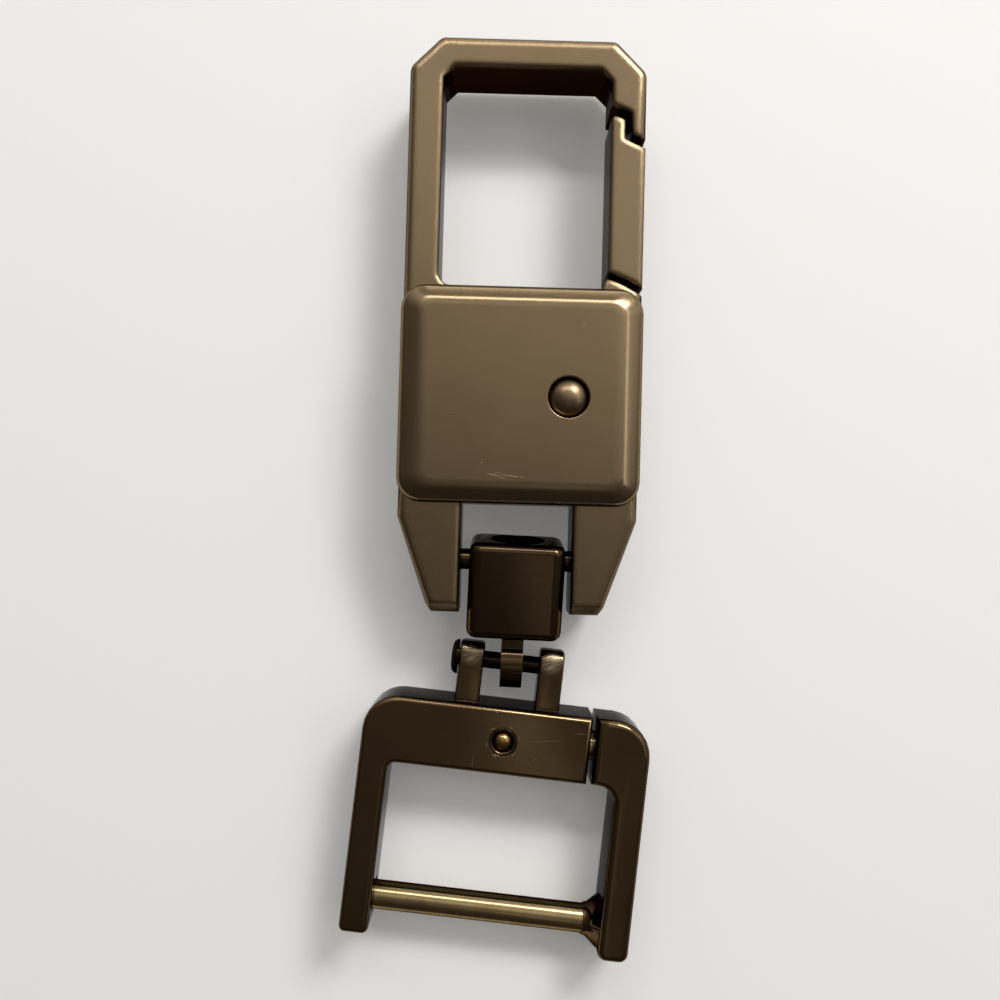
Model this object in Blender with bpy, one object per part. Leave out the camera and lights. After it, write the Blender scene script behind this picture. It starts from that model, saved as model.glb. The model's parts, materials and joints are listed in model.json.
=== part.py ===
# Metal keychain: a sprung hook on a riveted block, a tilting and turning link, and a key frame
# whose side arm pulls off. Metres, +Z up. X is across, +Y runs along the keychain to the hook's top.
# The origin is at the middle of the block's flat back, on which the keychain lies.

import bpy
import bmesh
from math import acos, asin, cos, degrees, pi, radians, sin, sqrt, tan
from mathutils import Matrix, Vector

MM = 0.001

# Clearances
SEAT_GAP = 0.08 * MM       # between pieces that stay fixed together
RUN_GAP = 0.15 * MM        # between pieces that turn or slide on each other
CHAMFER = 0.25 * MM        # on the ends of pins, rods and other small turned pieces
OVERSHOOT = 1.0 * MM       # how far a cutter runs past what it cuts

# Hook frame
FRAME_WIDTH = 26.8 * MM
FRAME_THICKNESS = 7.4 * MM
HOOK_TOP = 40.6 * MM
TOP_BAR_HEIGHT = 3.4 * MM
RAIL_WIDTH = 3.85 * MM
HOOK_CORNER_CUT = 3.5 * MM
HOOK_CORNER_ROUND = 1.2 * MM
OPENING_CORNER_CUT = 1.3 * MM
OPENING_FOOT_ROUND = 1.6 * MM
FRAME_EDGE = 0.4 * MM
HOOK_OUTER_EDGE = 0.95 * MM
PRONG_LENGTH = 12.2 * MM
PRONG_SLOT = 12.46 * MM
PRONG_END_WIDTH = 3.1 * MM
PRONG_TAPER_START = 1.6 * MM
PRONG_TOE = 0.9 * MM
PRONG_END_CUT = 1.1 * MM

# Hook tip and the notch that takes the gate's nose
TIP_LIP_WIDTH = 1.5 * MM
TIP_LIP_DROP = 11.15 * MM
TIP_LIP_HEIGHT = 2.0 * MM
TIP_LIP_RISE = 0.3 * MM
TIP_SLANT = 0.9 * MM
TIP_ROUND = 0.45 * MM

# Block and its covers
BLOCK_STEP = 0.15 * MM
BLOCK_HEIGHT = 24.3 * MM
BLOCK_CORNER = 2.8 * MM
CORE_STEP = 0.1 * MM
COVER_HEIGHT = 1.9 * MM
COVER_EDGE_X = 2.5 * MM
COVER_EDGE_Y = 2.0 * MM
COVER_SKIRT = 0.25 * MM
COVER_RIDGE_CORNER = 1.3 * MM
COVER_PROFILE = ((0.0, 0.0), (0.03, 0.22), (0.1, 0.4), (0.24, 0.56),  # shares of edge and height
                 (0.70, 0.866), (0.90, 0.955), (1.10, 0.992), (1.28, 1.0))
WINDOW_LEFT = -1.2 * MM
WINDOW_WIDTH = 11.4 * MM
WINDOW_TOP = 8.2 * MM
WINDOW_HEIGHT = 13.4 * MM
WINDOW_CORNER = 1.5 * MM
DOWEL_RADIUS = 1.0 * MM
DOWEL_INSET_X = 3.9 * MM
DOWEL_INSET_Y = 4.2 * MM
DOWEL_DEPTH = 1.1 * MM

# Gate and its pivot
PIVOT_X = 5.33 * MM
PIVOT_Y = -0.26 * MM
GATE_WIDTH = 3.9 * MM
GATE_EDGE = 0.35 * MM
GATE_FOOT_RADIUS = 15.0 * MM
GATE_FOOT_GAP = 0.6 * MM
GATE_SWING = 20.0
NOSE_SIDE_GAP = 0.8 * MM
NOSE_TOP_GAP = 0.3 * MM
NOSE_SLANT = 0.5 * MM
NOSE_CORNER_CUT = 0.4 * MM
SHOULDER_GAP = 1.1 * MM
SHOULDER_RISE = 1.05 * MM
TONGUE_THICKNESS = 2.4 * MM
TONGUE_WIDTH = 2.6 * MM
TONGUE_INSET = 1.1 * MM
HUB_RADIUS = 4.3 * MM
BOSS_HEIGHT = 0.8 * MM
BOSS_RADIUS = 3.8 * MM
SLEEVE_WALL = 0.5 * MM

# Domed rivet
RIVET_RADIUS = 1.5 * MM
RIVET_HEAD_RADIUS = 2.2 * MM
RIVET_SINK = 1.25 * MM
RIVET_DOME_RADIUS = 3.0 * MM
RIVET_CROWN_RISE = 0.3 * MM
RIVET_RIM = 0.12 * MM
RIVET_TAIL = 0.7 * MM

# Gate spring
SPRING_RADIUS = 0.95 * MM
SPRING_WIRE = 0.2 * MM
SPRING_TURNS = 9
SPRING_HEIGHT = 5.5 * MM
SPRING_POCKET = 1.5 * MM
SPRING_SEAT = 0.8 * MM

# Link between hook and key frame
CROSS_PIN_RADIUS = 1.2 * MM
CROSS_PIN_DROP = 6.35 * MM
CROSS_PIN_SINK = 0.25 * MM
BARREL_WIDTH = 10.8 * MM
BARREL_THICKNESS = 8.0 * MM
BARREL_HEAD = 2.4 * MM
BARREL_TAIL = 8.55 * MM
BARREL_CORNER = 1.4 * MM
BARREL_EDGE = 1.0 * MM
BARREL_PLAY = 0.25 * MM
BARREL_SHIFT = 0.2 * MM
BARREL_SKEW = 1.4
HEAD_RADIUS = 3.0 * MM
HEAD_HEIGHT = 1.3 * MM
HEAD_ROOM = 1.0 * MM
STEM_RADIUS = 1.9 * MM
WASHER_THICKNESS = 0.3 * MM
EYE_WIDTH = 2.5 * MM
EYE_RADIUS = 2.9 * MM
LINK_LENGTH = 12.15 * MM
CLEVIS_PIN_RADIUS = 1.0 * MM
CLEVIS_PLAY = 0.22 * MM
CLEVIS_HEAD_RADIUS = 2.0 * MM
CLEVIS_HEAD = 0.85 * MM

# Key frame
KEY_THICKNESS = 7.4 * MM
KEY_LEFT = 16.0 * MM
KEY_RIGHT = 16.8 * MM
KEY_HEIGHT = 26.9 * MM
KEY_BAR_HEIGHT = 7.5 * MM
KEY_CORNER = 4.0 * MM
KEY_EDGE = 0.55 * MM
KEY_TOE_ROUND = 0.65 * MM
KEY_LEG_WIDTH = 3.3 * MM
KEY_SKEW = 3.7
EAR_WIDTH = 2.85 * MM
EAR_GAP = 6.4 * MM
EAR_RADIUS = 2.05 * MM
EAR_ROUND = 1.2 * MM
EAR_EDGE = 0.35 * MM
EAR_REACH = 4.75 * MM

# Side arm, which pulls off to the right
PARTING_X = 9.9 * MM
PARTING_GAP = 0.6 * MM
ARM_LEG_WIDTH = 3.5 * MM
ARM_INNER_ROUND = 2.0 * MM
ARM_TOE_ROUND = 1.0 * MM
ARM_EDGE = 0.75 * MM
ROD_RADIUS = 1.7 * MM
ROD_REACH = 13.0 * MM
ROD_SEAT = 3.3 * MM
ROD_FLAT = 0.7 * MM
ROD_FLAT_REACH = 5.3 * MM
BAR_RADIUS = 1.6 * MM
BAR_RISE = 3.25 * MM
BAR_SOCKET = 2.4 * MM
BAR_SEAT = 2.3 * MM
BOSS_LENGTH = 1.8 * MM
BOSS_FLARE = 3.0 * MM

# Ball lock
BALL_RADIUS = 1.25 * MM
BALL_RISE = 0.2 * MM
BALL_TRAVEL = 0.8 * MM
BALL_LIP_RADIUS = 1.15 * MM
BALL_LIP_HEIGHT = 0.4 * MM
BALL_LIP_BEVEL = 0.2 * MM
BALL_SLEEVE_RADIUS = 1.53 * MM
BALL_SLEEVE_HEIGHT = 1.7 * MM
DIMPLE_RADIUS = 1.35 * MM
BALL_SPRING_ROOM = 1.2 * MM
BALL_SPRING_RADIUS = 0.75 * MM
BALL_SPRING_WIRE = 0.12 * MM
BALL_SPRING_TURNS = 3

# Places that follow from the sizes
MIDDLE_Z = COVER_HEIGHT + FRAME_THICKNESS / 2
BLOCK_TOP = BLOCK_HEIGHT / 2
BLOCK_WIDTH = FRAME_WIDTH + 2 * BLOCK_STEP
RAIL_INNER = FRAME_WIDTH / 2 - RAIL_WIDTH
GATE_INNER = FRAME_WIDTH / 2 - GATE_WIDTH
OPENING_TOP = HOOK_TOP - TOP_BAR_HEIGHT
PRONG_END = -BLOCK_TOP - PRONG_LENGTH
CROSS_PIN_Y = -BLOCK_TOP - CROSS_PIN_DROP
LIP_END = HOOK_TOP - TIP_LIP_DROP
TILT = asin((MIDDLE_Z - KEY_THICKNESS / 2) / LINK_LENGTH)
TONGUE_TARGET = FRAME_WIDTH / 2 - TONGUE_INSET - TONGUE_WIDTH / 2
TONGUE_ANGLE = asin((TONGUE_TARGET - PIVOT_X) / GATE_FOOT_RADIUS)
KEY_TOP = -EAR_REACH
ROD_Y = KEY_TOP - KEY_BAR_HEIGHT / 2
BAR_Y = KEY_TOP - KEY_HEIGHT + BAR_RISE
ARM_X = PARTING_X + PARTING_GAP
ARM_INNER = KEY_RIGHT - ARM_LEG_WIDTH
LEG_INNER = -KEY_LEFT + KEY_LEG_WIDTH
BALL_Z = KEY_THICKNESS / 2 + BALL_RISE - BALL_RADIUS
ROD_FLAT_Z = ROD_RADIUS - ROD_FLAT
DIMPLE_DEPTH = BALL_TRAVEL + BALL_SPRING_ROOM

AXIS_MARK = 5.0 * MM
ROUND_STEPS = 6
TURN_STEPS = 9
SMALL_SIDES = 24
LARGE_SIDES = 32


def clear_scene():
    for thing in list(bpy.data.objects):
        bpy.data.objects.remove(thing, do_unlink=True)


def metal(name, colour, roughness):
    finish = bpy.data.materials.new(name)
    finish.use_nodes = True
    shader = finish.node_tree.nodes["Principled BSDF"]
    shader.inputs["Base Color"].default_value = (*colour, 1.0)
    shader.inputs["Metallic"].default_value = 1.0
    shader.inputs["Roughness"].default_value = roughness
    return finish


def axis_empty(name, place, parent=None, turn=(0, 0, 0), order="XYZ"):
    empty = bpy.data.objects.new(name, None)
    bpy.context.scene.collection.objects.link(empty)
    empty.empty_display_size = AXIS_MARK
    empty.parent = parent
    empty.location = place
    empty.rotation_mode = order
    empty.rotation_euler = turn
    return empty


def finish_object(name, shape, finish, parent=None, place=(0, 0, 0)):
    bmesh.ops.recalc_face_normals(shape, faces=shape.faces)
    mesh = bpy.data.meshes.new(name)
    shape.to_mesh(mesh)
    shape.free()
    mesh.shade_smooth()
    mesh.set_sharp_from_angle(angle=radians(32))
    if finish is not None:
        mesh.materials.append(finish)
    made = bpy.data.objects.new(name, mesh)
    bpy.context.scene.collection.objects.link(made)
    made.parent = parent
    made.location = place
    return made


def join_or_cut(body, other, operation):
    """Adds or takes away a helper, which stays in the file as a wire guide."""
    step = body.modifiers.new(other.name, "BOOLEAN")
    step.operation = operation
    step.solver = "EXACT"
    step.object = other
    other.hide_render = True
    other.display_type = "WIRE"


def cut(body, *helpers):
    for helper in helpers:
        join_or_cut(body, helper, "DIFFERENCE")


def add(body, *helpers):
    for helper in helpers:
        join_or_cut(body, helper, "UNION")


def arc(centre, radius, start, end, steps):
    """Points on a circle from one angle to another, in degrees from +X."""
    points = []
    for i in range(steps + 1):
        angle = radians(start + (end - start) * i / steps)
        points.append((centre[0] + radius * cos(angle), centre[1] + radius * sin(angle), 0.0))
    return points


def outline(corners):
    """A closed outline from (x, y, radius) corners, with each rounded corner drawn as an arc."""
    points = []
    for i, (x, y, radius) in enumerate(corners):
        here = Vector((x, y))
        if radius == 0:
            points.append(here)
            continue
        before = Vector(corners[i - 1][:2]) - here
        after = Vector(corners[(i + 1) % len(corners)][:2]) - here
        angle = before.angle(after)
        reach = radius / tan(angle / 2)
        centre = here + (before.normalized() + after.normalized()).normalized() * (radius / sin(angle / 2))
        first = here + before.normalized() * reach - centre
        last = here + after.normalized() * reach - centre
        sweep = first.angle_signed(last)
        for step in range(ROUND_STEPS + 1):
            points.append(centre + Matrix.Rotation(-sweep * step / ROUND_STEPS, 2) @ first)
    return points


def prism(points, low, high, edge=0.0, edge_steps=3, turn=None):
    """The outline as a slab between two heights, with its rims rounded over."""
    shape = bmesh.new()
    floor = [shape.verts.new((p[0], p[1], low)) for p in points]
    face = shape.faces.new(floor)
    raised = bmesh.ops.extrude_face_region(shape, geom=[face])["geom"]
    top = [v for v in raised if isinstance(v, bmesh.types.BMVert)]
    bmesh.ops.translate(shape, verts=top, vec=(0, 0, high - low))
    bmesh.ops.recalc_face_normals(shape, faces=shape.faces)
    if edge > 0:
        rims = [e for e in shape.edges if e.verts[0].co.z == e.verts[1].co.z]
        bmesh.ops.bevel(shape, geom=rims, offset=edge, segments=edge_steps, profile=0.5,
                        affect="EDGES", clamp_overlap=False, material=-1)
        bmesh.ops.triangulate(shape, faces=[f for f in shape.faces if len(f.verts) == 4])
    if turn is not None:
        bmesh.ops.transform(shape, matrix=turn, verts=shape.verts)
    return shape


def round_rims(slab, wide, narrow, is_wide):
    """Rounds a slab's rims over, with the wider rounding where is_wide says so of a rim's middle."""
    mesh = slab.data
    weights = mesh.attributes.new("bevel_weight_edge", "FLOAT", "EDGE")
    for edge in mesh.edges:
        start, end = (mesh.vertices[i].co for i in edge.vertices)
        if start.z == end.z:
            middle = (start + end) / 2
            weights.data[edge.index].value = 1.0 if is_wide(middle.x, middle.y) else narrow / wide
            edge.use_edge_sharp = False
    rounding = slab.modifiers.new("rounded rims", "BEVEL")
    rounding.limit_method = "WEIGHT"
    rounding.width = wide
    rounding.segments = 3
    rounding.use_clamp_overlap = False
    slab.modifiers.new("flat triangles", "TRIANGULATE")


def revolved(profile, sides, turn=None, ring=False):
    """A turned body about Z from (radius, height) points; its open ends are capped flat."""
    shape = bmesh.new()
    points = [shape.verts.new((radius, 0, height)) for radius, height in profile]
    edges = [shape.edges.new(pair) for pair in zip(points, points[1:])]
    if ring:
        edges.append(shape.edges.new((points[-1], points[0])))
    bmesh.ops.spin(shape, geom=points + edges, cent=(0, 0, 0), axis=(0, 0, 1), dvec=(0, 0, 0),
                   angle=2 * pi, steps=sides, use_merge=True, use_duplicate=False)
    bmesh.ops.holes_fill(shape, edges=[e for e in shape.edges if e.is_boundary], sides=sides)
    bmesh.ops.recalc_face_normals(shape, faces=shape.faces)
    if turn is not None:
        bmesh.ops.transform(shape, matrix=turn, verts=shape.verts)
    return shape


def rod(radius, low, high, sides=SMALL_SIDES, chamfer=0.0, turn=None):
    """A cylinder along Z, its ends chamfered where a chamfer is given."""
    profile = [(radius, low), (radius, high)]
    if chamfer > 0:
        profile = [(radius - chamfer, low), (radius, low + chamfer),
                   (radius, high - chamfer), (radius - chamfer, high)]
    return revolved(profile, sides, turn)


def helper(name, shape, parent=None, place=(0, 0, 0)):
    return finish_object(name, shape, None, parent, place)


ALONG_X = Matrix.Rotation(pi / 2, 4, "Y")
ALONG_Y = Matrix.Rotation(-pi / 2, 4, "X")
EDGE_ON = Matrix(((0, 0, 1, 0), (1, 0, 0, 0), (0, 1, 0, 0), (0, 0, 0, 1)))


def coil(name, radius, wire, turns, length, finish, parent, place, turn):
    """A compression spring along its own Z, from 0 to its length."""
    steps = turns * TURN_STEPS
    pitch = (length - 2 * wire) / turns
    line = bpy.data.curves.new(name, "CURVE")
    line.dimensions = "3D"
    line.bevel_depth = wire
    line.bevel_resolution = 1
    line.use_fill_caps = True
    path = line.splines.new("POLY")
    path.points.add(steps)
    for i, point in enumerate(path.points):
        angle = 2 * pi * turns * i / steps
        point.co = (radius * cos(angle), radius * sin(angle), wire + pitch * turns * i / steps, 1)
    places = [point.co.to_3d() for point in path.points]
    gaps = [(a - b).length for i, a in enumerate(places) for b in places[i + TURN_STEPS // 2:]]
    print(f"{name}: least gap to itself {(min(gaps) - 2 * wire) / MM:.2f} mm")
    line.materials.append(finish)
    made = bpy.data.objects.new(name, line)
    bpy.context.scene.collection.objects.link(made)
    made.parent = parent
    made.location = place
    made.rotation_euler = turn
    return made


def along_tongue(angle, distance, side):
    """A point beside the line from the gate's pivot, at an angle from +Y towards +X."""
    return (PIVOT_X + distance * sin(angle) + side * cos(angle),
            PIVOT_Y + distance * cos(angle) - side * sin(angle), 0.0)


def foot_arc(radius, left, right, steps):
    """Points on the circle about the gate's pivot between two places across the frame."""
    start = degrees(acos((left - PIVOT_X) / radius))
    end = degrees(acos((right - PIVOT_X) / radius))
    return arc((PIVOT_X, PIVOT_Y), radius, start, end, steps)


def block_outline(inset=0.0):
    """The block's outline, or the one that lies a share of the cushion's width further in."""
    half_x = BLOCK_WIDTH / 2 - inset * COVER_EDGE_X
    half_y = BLOCK_TOP - inset * COVER_EDGE_Y
    corner = BLOCK_CORNER - inset * (BLOCK_CORNER - COVER_RIDGE_CORNER)
    return outline([(half_x, half_y, corner), (-half_x, half_y, corner),
                    (-half_x, -half_y, corner), (half_x, -half_y, corner)])


def window_outline(margin=0.0):
    left = WINDOW_LEFT + margin
    right = WINDOW_LEFT + WINDOW_WIDTH - margin
    high = WINDOW_TOP - margin
    low = WINDOW_TOP - WINDOW_HEIGHT + margin
    return outline([(right, high, WINDOW_CORNER), (left, high, WINDOW_CORNER),
                    (left, low, WINDOW_CORNER), (right, low, WINDOW_CORNER)])


def dowel_places():
    x = -BLOCK_WIDTH / 2 + DOWEL_INSET_X
    y = BLOCK_TOP - DOWEL_INSET_Y
    return {"upper": (x, y), "lower": (x, -y)}


def prong_outer(y):
    """How far out the prong's slanted side lies at a height along the frame."""
    start = -BLOCK_TOP - PRONG_TAPER_START
    end = PRONG_END + PRONG_TOE
    end_x = PRONG_SLOT / 2 + PRONG_END_WIDTH + PRONG_TOE * 0.7
    share = (start - y) / (start - end)
    return FRAME_WIDTH / 2 + (end_x - FRAME_WIDTH / 2) * share


def on_hook_outside(x, y):
    """Whether a place lies on the hook's outer side, and not in its opening or the prongs' slot."""
    to_side = abs(x) - min(FRAME_WIDTH / 2, prong_outer(y))
    to_top = y - HOOK_TOP
    to_corner = (to_side + to_top + HOOK_CORNER_CUT) / sqrt(2)
    return max(to_side, to_top, to_corner) > -HOOK_CORNER_ROUND / 4


def build_hook_frame(finish):
    half = FRAME_WIDTH / 2
    slot = PRONG_SLOT / 2
    taper = -BLOCK_TOP - PRONG_TAPER_START
    toe = PRONG_END + PRONG_TOE
    shoulder = GATE_FOOT_RADIUS - GATE_FOOT_GAP
    lip = half - TIP_LIP_WIDTH
    floor = BLOCK_TOP + CORE_STEP
    slot_end = -BLOCK_TOP + BLOCK_CORNER
    corners = [
        (half, LIP_END, 0),
        (half, HOOK_TOP - HOOK_CORNER_CUT, HOOK_CORNER_ROUND),
        (half - HOOK_CORNER_CUT, HOOK_TOP, HOOK_CORNER_ROUND),
        (-half + HOOK_CORNER_CUT, HOOK_TOP, HOOK_CORNER_ROUND),
        (-half, HOOK_TOP - HOOK_CORNER_CUT, HOOK_CORNER_ROUND),
        (-half, taper, 1.5 * PRONG_TOE),
        (-prong_outer(toe), toe, 0),
        (-slot - PRONG_END_WIDTH, PRONG_END, 0),
        (-slot, PRONG_END, 0),
        (-slot, slot_end, 0),
        (slot, slot_end, 0),
        (slot, PRONG_END, 0),
        (slot + PRONG_END_WIDTH, PRONG_END, 0),
        (prong_outer(toe), toe, 0),
        (half, taper, 1.5 * PRONG_TOE),
        *reversed(foot_arc(shoulder, GATE_INNER - 0.3 * GATE_FOOT_GAP, half, 5)),
        (GATE_INNER - GATE_FOOT_GAP, floor, 0),
        (-RAIL_INNER, floor, OPENING_FOOT_ROUND),
        (-RAIL_INNER, OPENING_TOP - OPENING_CORNER_CUT, 0),
        (-RAIL_INNER + OPENING_CORNER_CUT, OPENING_TOP, 0),
        (GATE_INNER - OPENING_CORNER_CUT, OPENING_TOP, 0),
        (GATE_INNER, OPENING_TOP - OPENING_CORNER_CUT, 0),
        (GATE_INNER, LIP_END + TIP_LIP_HEIGHT + 2 * TIP_SLANT, 0),
        (lip - TIP_LIP_RISE / 2, LIP_END + TIP_LIP_HEIGHT + TIP_SLANT, TIP_ROUND),
        (lip, LIP_END + TIP_LIP_RISE, TIP_ROUND),
    ]
    low = COVER_HEIGHT
    high = COVER_HEIGHT + FRAME_THICKNESS
    frame = finish_object("hook_frame", prism(outline(corners), low, high), finish)
    round_rims(frame, HOOK_OUTER_EDGE, FRAME_EDGE, on_hook_outside)
    core = helper("block_core", prism(block_outline(), low, high))
    add(frame, core)

    window = helper("pivot_window", prism(window_outline(), low - OVERSHOOT, high + OVERSHOOT))
    side = TONGUE_WIDTH / 2 + 2 * RUN_GAP
    swung = TONGUE_ANGLE - radians(GATE_SWING)
    reach = GATE_FOOT_RADIUS + OVERSHOOT
    tongue_room = [along_tongue(TONGUE_ANGLE, 0, side), along_tongue(TONGUE_ANGLE, reach, side),
                   along_tongue(swung, reach, -side), along_tongue(swung, 0, -side)]
    half_room = TONGUE_THICKNESS / 2 + RUN_GAP
    tongue_slot = helper("tongue_slot", prism(tongue_room, MIDDLE_Z - half_room, MIDDLE_Z + half_room))
    pocket_radius = SPRING_RADIUS + SPRING_WIRE + RUN_GAP
    pocket_turn = Matrix.Translation((0, SPRING_HEIGHT, MIDDLE_Z)) @ ALONG_X
    pocket = helper("spring_pocket", rod(pocket_radius, WINDOW_LEFT - SPRING_POCKET,
                                         WINDOW_LEFT + OVERSHOOT, SMALL_SIDES, turn=pocket_turn))
    pin_turn = Matrix.Translation((0, CROSS_PIN_Y, MIDDLE_Z)) @ ALONG_X
    pin_hole = helper("cross_pin_hole", rod(CROSS_PIN_RADIUS + SEAT_GAP, -half, half,
                                            SMALL_SIDES, turn=pin_turn))
    cut(frame, window, tongue_slot, pocket, pin_hole)
    for name, (x, y) in dowel_places().items():
        hole = rod(DOWEL_RADIUS + SEAT_GAP, low - OVERSHOOT, high + OVERSHOOT)
        cut(frame, helper("core_dowel_hole_" + name, hole, place=(x, y, 0)))
    for name, towards in (("front", 1), ("back", -1)):
        face_z = MIDDLE_Z + towards * FRAME_THICKNESS / 2
        past = PRONG_END_CUT + OVERSHOOT
        wedge_points = [(PRONG_END - OVERSHOOT, OVERSHOOT), (PRONG_END + past, OVERSHOOT),
                        (PRONG_END - OVERSHOOT, -past)]
        wedge_points = [(y, face_z + towards * z) for y, z in wedge_points]
        wedge = prism(wedge_points, -half, half, turn=EDGE_ON)
        cut(frame, helper("prong_end_cut_" + name, wedge))
    return frame


def cover_shape(outward):
    """A cushion-edged cover: its outline drawn in step by step, up a slope to a soft ridge."""
    shape = bmesh.new()
    rings = [[shape.verts.new((p.x, p.y, 0.0)) for p in block_outline()]]
    for inset, height in COVER_PROFILE:
        level = COVER_SKIRT + height * (COVER_HEIGHT - COVER_SKIRT)
        rings.append([shape.verts.new((p.x, p.y, level)) for p in block_outline(inset)])
    for lower, upper in zip(rings, rings[1:]):
        for i in range(len(lower)):
            j = (i + 1) % len(lower)
            shape.faces.new((lower[i], lower[j], upper[j], upper[i]))
    shape.faces.new(reversed(rings[0]))
    shape.faces.new(rings[-1])
    face_z = MIDDLE_Z + outward * FRAME_THICKNESS / 2
    seat = Matrix.Translation((0, 0, face_z)) @ Matrix.Diagonal((1, 1, outward, 1))
    bmesh.ops.transform(shape, matrix=seat, verts=shape.verts)
    bmesh.ops.recalc_face_normals(shape, faces=shape.faces)
    return shape


def build_cover(name, outward, sink, finish):
    cover = finish_object(name, cover_shape(outward), finish)
    face_z = MIDDLE_Z + outward * FRAME_THICKNESS / 2
    turn = Matrix.Translation((PIVOT_X, PIVOT_Y, face_z)) @ Matrix.Diagonal((1, 1, outward, 1))
    boss = helper(name + "_boss", rod(BOSS_RADIUS, -BOSS_HEIGHT, COVER_HEIGHT / 2, LARGE_SIDES, turn=turn))
    add(cover, boss)
    hole = RIVET_RADIUS + RUN_GAP
    well = RIVET_HEAD_RADIUS + SEAT_GAP
    rim = well + RIVET_RIM
    floor = COVER_HEIGHT - sink
    profile = [(hole, -BOSS_HEIGHT - OVERSHOOT), (hole, floor), (well, floor),
               (well, COVER_HEIGHT - RIVET_RIM), (rim, COVER_HEIGHT), (rim, COVER_HEIGHT + OVERSHOOT)]
    cut(cover, helper(name + "_rivet_hole", revolved(profile, LARGE_SIDES, turn)))
    for place, (x, y) in dowel_places().items():
        ends = sorted((face_z - outward * OVERSHOOT, face_z + outward * DOWEL_DEPTH))
        depth = rod(DOWEL_RADIUS + SEAT_GAP, *ends)
        cut(cover, helper(f"{name}_dowel_hole_{place}", depth, place=(x, y, 0)))
    return cover


def build_dowels(finish):
    reach = FRAME_THICKNESS / 2 + DOWEL_DEPTH - SEAT_GAP
    for name, (x, y) in dowel_places().items():
        shape = rod(DOWEL_RADIUS, -reach, reach, SMALL_SIDES, CHAMFER)
        finish_object("cover_dowel_" + name, shape, finish, place=(x, y, MIDDLE_Z))


def build_gate(finish, axis):
    """Modelled about the pivot, which is the gate's origin."""
    half = FRAME_WIDTH / 2
    nose_right = half - TIP_LIP_WIDTH - NOSE_SIDE_GAP
    nose_top = LIP_END + TIP_LIP_HEIGHT + TIP_SLANT - NOSE_TOP_GAP
    shoulder = LIP_END - SHOULDER_GAP
    corners = [
        *foot_arc(GATE_FOOT_RADIUS, GATE_INNER, half, 5),
        (half, shoulder, 0),
        (nose_right, shoulder + SHOULDER_RISE, 0),
        (nose_right, nose_top - NOSE_SLANT, 0),
        (GATE_INNER + NOSE_CORNER_CUT, nose_top, 0),
        (GATE_INNER, nose_top - NOSE_CORNER_CUT, 0),
    ]
    points = [(p.x - PIVOT_X, p.y - PIVOT_Y) for p in outline(corners)]
    thick = FRAME_THICKNESS / 2
    gate = finish_object("gate", prism(points, -thick, thick, GATE_EDGE), finish, axis)
    side = TONGUE_WIDTH / 2
    reach = GATE_FOOT_RADIUS + side
    flat = [along_tongue(TONGUE_ANGLE, 0, side), along_tongue(TONGUE_ANGLE, reach, side),
            along_tongue(TONGUE_ANGLE, reach, -side), along_tongue(TONGUE_ANGLE, 0, -side)]
    flat = [(x - PIVOT_X, y - PIVOT_Y) for x, y, _ in flat]
    half_tongue = TONGUE_THICKNESS / 2
    tongue = helper("gate_tongue", prism(flat, -half_tongue, half_tongue), axis)
    half_hub = FRAME_THICKNESS / 2 - BOSS_HEIGHT - RUN_GAP
    hub = helper("gate_hub", rod(HUB_RADIUS, -half_hub, half_hub, LARGE_SIDES, CHAMFER), axis)
    add(gate, tongue, hub)
    sleeve_radius = RIVET_RADIUS + RUN_GAP + SLEEVE_WALL
    bore = helper("gate_bore", rod(sleeve_radius + RUN_GAP, -thick, thick, LARGE_SIDES), axis)
    seat_x = spring_end_x() - PIVOT_X
    seat_turn = Matrix.Translation((0, SPRING_HEIGHT - PIVOT_Y, 0)) @ ALONG_X
    seat = rod(SPRING_RADIUS + SPRING_WIRE + RUN_GAP, seat_x - TONGUE_WIDTH - OVERSHOOT,
               seat_x + SEAT_GAP, SMALL_SIDES, turn=seat_turn)
    seat = helper("gate_spring_seat", seat, axis)
    cut(gate, bore, seat)
    return gate


def spring_end_x():
    """Where the gate spring bears on the tongue: the flank at its height, and a seat sunk into it."""
    distance = (SPRING_HEIGHT - PIVOT_Y - TONGUE_WIDTH / 2 * sin(TONGUE_ANGLE)) / cos(TONGUE_ANGLE)
    flank = along_tongue(TONGUE_ANGLE, distance, -TONGUE_WIDTH / 2)[0]
    return flank + SPRING_SEAT


def build_gate_pivot(steel):
    half_gap = FRAME_THICKNESS / 2 - BOSS_HEIGHT - SEAT_GAP
    inner = RIVET_RADIUS + RUN_GAP
    outer = inner + SLEEVE_WALL
    profile = [(inner, -half_gap), (outer, -half_gap), (outer, half_gap), (inner, half_gap)]
    place = (PIVOT_X, PIVOT_Y, MIDDLE_Z)
    sleeve = revolved(profile, LARGE_SIDES, ring=True)
    finish_object("pivot_sleeve", sleeve, steel, place=place)
    top = FRAME_THICKNESS / 2 + COVER_HEIGHT
    seat = top - RIVET_SINK + SEAT_GAP
    crown = top + RIVET_CROWN_RISE
    tail_seat = -(top - RIVET_TAIL - 2 * SEAT_GAP)
    tail = tail_seat - RIVET_TAIL + SEAT_GAP
    profile = [(RIVET_HEAD_RADIUS - CHAMFER, tail), (RIVET_HEAD_RADIUS, tail + CHAMFER),
               (RIVET_HEAD_RADIUS, tail_seat), (RIVET_RADIUS, tail_seat), (RIVET_RADIUS, seat),
               (RIVET_HEAD_RADIUS, seat)]
    edge = asin(RIVET_HEAD_RADIUS / RIVET_DOME_RADIUS)
    for i in range(ROUND_STEPS):
        angle = edge * (1 - i / ROUND_STEPS)
        profile.append((RIVET_DOME_RADIUS * sin(angle), crown - RIVET_DOME_RADIUS * (1 - cos(angle))))
    finish_object("gate_rivet", revolved(profile, LARGE_SIDES), steel, place=place)


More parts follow.
